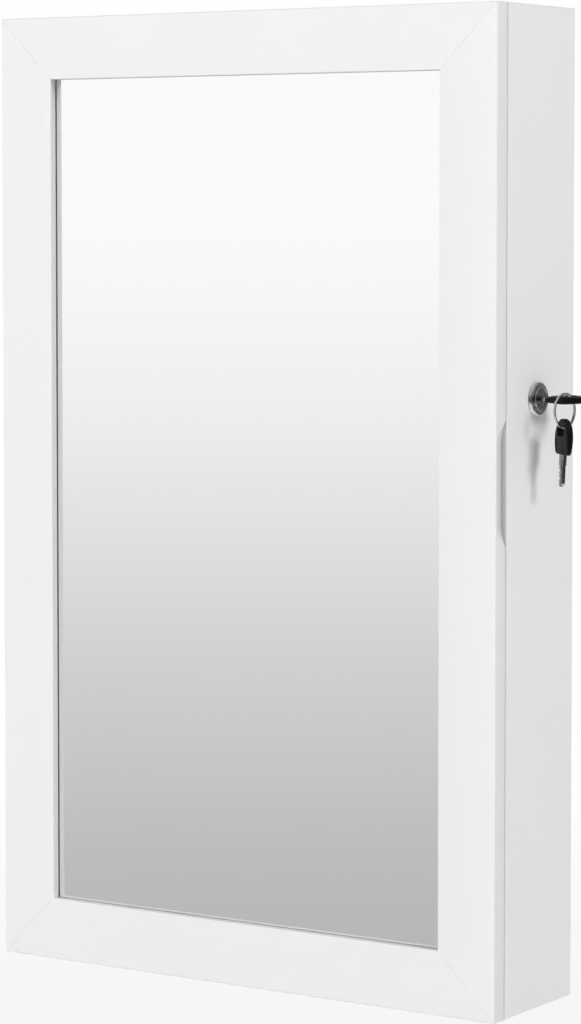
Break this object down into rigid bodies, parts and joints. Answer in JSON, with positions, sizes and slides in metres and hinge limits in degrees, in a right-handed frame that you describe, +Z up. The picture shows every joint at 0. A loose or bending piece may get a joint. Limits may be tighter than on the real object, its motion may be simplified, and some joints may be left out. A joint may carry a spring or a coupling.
{
  "type": "jewelry mirror cabinet",
  "caption": "Shallow white wall cabinet for jewelry whose hinged door is a framed mirror, with a cam lock in its side, keys on a ring, and hooks, ring rolls, earring boards and shelves inside.",
  "frame": {"origin": "on the wall plane, midway between the two screws that the cabinet hangs from, 50 mm below its top", "axes": "+X to the right as seen from the room, +Y into the wall, +Z up"},
  "size_m": [0.4013, 0.093, 0.6],
  "materials": {
    "case_board": "satin white paint on fibreboard",
    "door_frame": "satin white paint on fibreboard",
    "beech": "raw",
    "back_board": "thin fibreboard, white face",
    "velvet": "short black velvet",
    "bumper": "soft",
    "mirror": "silvered glass",
    "tape": "foam",
    "white_plastic": "moulded",
    "steel": "plain",
    "magnet": "ferrite",
    "screw_steel": "plated",
    "zinc": "zinc plated",
    "lock_chrome": "polished nickel",
    "key_steel": "nickel plated",
    "key_plastic": "moulded black",
    "rod_chrome": "polished"
  },
  "bodies": {
    "case": {"side_panel_left": "case_board", "side_panel_right": "case_board", "top_panel": "case_board", "bottom_panel": "case_board", "case_dowels": "beech", "back_panel": "back_board", "back_lining": "velvet", "door_bumpers": "bumper", "hanging_batten": "case_board", "keyhole_plate_left": "zinc", "keyhole_plate_right": "zinc", "keyhole_plate_screws": "screw_steel", "upper_hinge_case_leaf": "zinc", "lower_hinge_case_leaf": "zinc", "upper_hinge_pin": "zinc", "lower_hinge_pin": "zinc", "hinge_case_screws": "screw_steel", "lock_housing": "lock_chrome", "lock_nut": "zinc", "catch_housing": "white_plastic", "catch_poles": "steel", "catch_magnet": "magnet", "catch_screws": "screw_steel", "ring_tray": "velvet", "ring_rolls": "velvet", "earring_boards": "velvet", "bracelet_rod": "rod_chrome", "bracelet_rod_sockets": "rod_chrome", "shelf_upper": "case_board", "shelf_lower": "case_board", "guard_rails": "case_board", "necklace_rail": "case_board", "necklace_hooks": "rod_chrome", "divider_panel": "case_board", "necklace_bin_front": "case_board"},
    "door": {"door_stile_left": "door_frame", "door_stile_right": "door_frame", "door_rail_top": "door_frame", "door_rail_bottom": "door_frame", "mirror_glass": "mirror", "mirror_tape": "tape", "mirror_backing": "back_board", "door_lining": "velvet", "upper_hinge_door_leaf": "zinc", "lower_hinge_door_leaf": "zinc", "hinge_door_screws": "screw_steel", "lock_striker": "zinc", "striker_pin": "steel", "striker_screws": "screw_steel", "catch_plate": "steel", "catch_plate_screw": "screw_steel"},
    "plug": {"lock_plug": "lock_chrome", "lock_cam": "zinc", "cam_screw": "screw_steel"},
    "key": {"key_blade": "key_steel", "key_head": "key_plastic"},
    "ring": {"key_ring": "key_steel"},
    "spare": {"spare_key_blade": "key_steel", "spare_key_head": "key_plastic"}
  },
  "joints": [
    {"name": "door_hinge", "type": "hinge", "parent": "case", "child": "door", "pos_m": [-0.185, -0.0804, -0.25], "axis": [0, 0, -1], "range_deg": [0, 120]},
    {"name": "lock_turn", "type": "hinge", "parent": "case", "child": "plug", "pos_m": [0.1825, -0.045, -0.183], "axis": [1, 0, 0], "range_deg": [0, 90]},
    {"name": "key_slide", "type": "slide", "parent": "plug", "child": "key", "axis": [1, 0, 0], "range_m": [0, 0.02]},
    {"name": "key_ring_swing", "type": "hinge", "parent": "key", "child": "ring", "pos_m": [0.2053, -0.0519, -0.183], "axis": [1, 0, 0], "range_deg": [-90, 0]},
    {"name": "spare_key_swing", "type": "hinge", "parent": "ring", "child": "spare", "pos_m": [0.2053, -0.0519, -0.1992], "axis": [0.1045, 0.9945, 0], "range_deg": [-30, 30]}
  ],
  "couplings": [
    {"joint": "key_ring_swing", "follows": "lock_turn", "ratio": -1}
  ]
}
